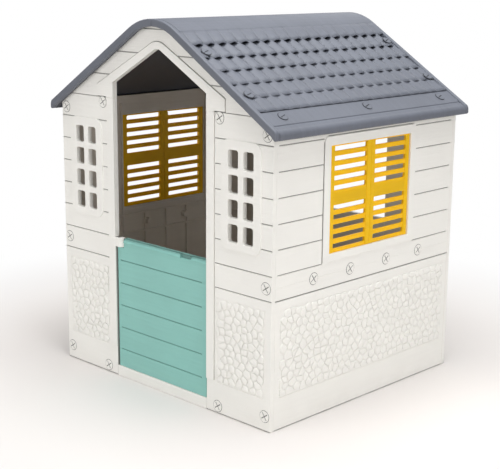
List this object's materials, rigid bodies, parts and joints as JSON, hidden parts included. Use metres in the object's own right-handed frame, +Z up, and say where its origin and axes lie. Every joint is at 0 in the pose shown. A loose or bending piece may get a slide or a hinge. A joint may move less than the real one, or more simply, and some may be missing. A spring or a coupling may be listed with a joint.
{
  "type": "plastic playhouse",
  "caption": "Child's plastic playhouse: bolted clapboard and cobble wall panels, pitched tile roof, half door, hatch opening and louvred shutters.",
  "frame": {"origin": "on the ground at the centre of the house", "axes": "+Z up, doorway faces -Y, ridge along Y"},
  "size_m": [0.96, 0.868, 1.1012],
  "materials": {
    "wall_plastic": "satin moulded polyethylene, warm white",
    "roof_plastic": "satin moulded polyethylene, slate grey",
    "door_plastic": "satin moulded polyethylene, mint",
    "shutter_plastic": "satin moulded polyethylene, yellow",
    "screw_plastic": "satin moulded nylon"
  },
  "bodies": {
    "house": {"back_gable": "wall_plastic", "back_hatch_panel": "wall_plastic", "back_left_corner_screw_1": "screw_plastic", "back_left_corner_screw_2": "screw_plastic", "back_left_corner_screw_3": "screw_plastic", "back_left_ear_screw": "screw_plastic", "back_left_jamb_screw_1": "screw_plastic", "back_left_jamb_screw_2": "screw_plastic", "back_left_panel": "wall_plastic", "back_right_corner_screw_1": "screw_plastic", "back_right_corner_screw_2": "screw_plastic", "back_right_corner_screw_3": "screw_plastic", "back_right_ear_screw": "screw_plastic", "back_right_jamb_screw_1": "screw_plastic", "back_right_jamb_screw_2": "screw_plastic", "back_right_panel": "wall_plastic", "door_hinge_block": "wall_plastic", "door_sill": "wall_plastic", "front_gable": "wall_plastic", "front_left_corner_screw_1": "screw_plastic", "front_left_corner_screw_2": "screw_plastic", "front_left_corner_screw_3": "screw_plastic", "front_left_ear_screw": "screw_plastic", "front_left_jamb_screw_1": "screw_plastic", "front_left_panel": "wall_plastic", "front_right_corner_screw_1": "screw_plastic", "front_right_corner_screw_2": "screw_plastic", "front_right_corner_screw_3": "screw_plastic", "front_right_ear_screw": "screw_plastic", "front_right_jamb_screw_1": "screw_plastic", "front_right_panel": "wall_plastic", "left_seam_screw_1": "screw_plastic", "left_seam_screw_2": "screw_plastic", "left_seam_screw_3": "screw_plastic", "left_seam_screw_4": "screw_plastic", "left_wall_lower": "wall_plastic", "left_wall_upper": "wall_plastic", "right_seam_screw_1": "screw_plastic", "right_seam_screw_2": "screw_plastic", "right_seam_screw_3": "screw_plastic", "right_seam_screw_4": "screw_plastic", "right_wall_lower": "wall_plastic", "right_wall_upper": "wall_plastic", "roof_left": "roof_plastic", "roof_left_screw_1": "roof_plastic", "roof_left_screw_2": "roof_plastic", "roof_left_screw_3": "roof_plastic", "roof_left_screw_4": "roof_plastic", "roof_right": "roof_plastic", "roof_right_screw_1": "roof_plastic", "roof_right_screw_2": "roof_plastic", "roof_right_screw_3": "roof_plastic", "roof_right_screw_4": "roof_plastic"},
    "door": {"door_leaf": "door_plastic", "door_pin_top": "wall_plastic", "door_pin_bottom": "wall_plastic"},
    "right_shutter_front": {"right_shutter_front": "shutter_plastic"},
    "right_shutter_back": {"right_shutter_back": "shutter_plastic"},
    "left_shutter_front": {"left_shutter_front": "shutter_plastic"},
    "left_shutter_back": {"left_shutter_back": "shutter_plastic"}
  },
  "joints": [
    {"name": "door_hinge", "type": "hinge", "parent": "house", "child": "door", "pos_m": [-0.186, -0.401, 0.034], "axis": [0, 0, -1], "range_deg": [0, 110]},
    {"name": "right_shutter_front_hinge", "type": "hinge", "parent": "house", "child": "right_shutter_front", "pos_m": [0.4445, -0.1755, 0.466], "axis": [0, 0, -1], "range_deg": [0, 90]},
    {"name": "right_shutter_back_hinge", "type": "hinge", "parent": "house", "child": "right_shutter_back", "pos_m": [0.4445, 0.1755, 0.466], "axis": [0, 0, 1], "range_deg": [0, 90]},
    {"name": "left_shutter_front_hinge", "type": "hinge", "parent": "house", "child": "left_shutter_front", "pos_m": [-0.4445, -0.1755, 0.466], "axis": [0, 0, 1], "range_deg": [0, 90]},
    {"name": "left_shutter_back_hinge", "type": "hinge", "parent": "house", "child": "left_shutter_back", "pos_m": [-0.4445, 0.1755, 0.466], "axis": [0, 0, -1], "range_deg": [0, 90]}
  ]
}
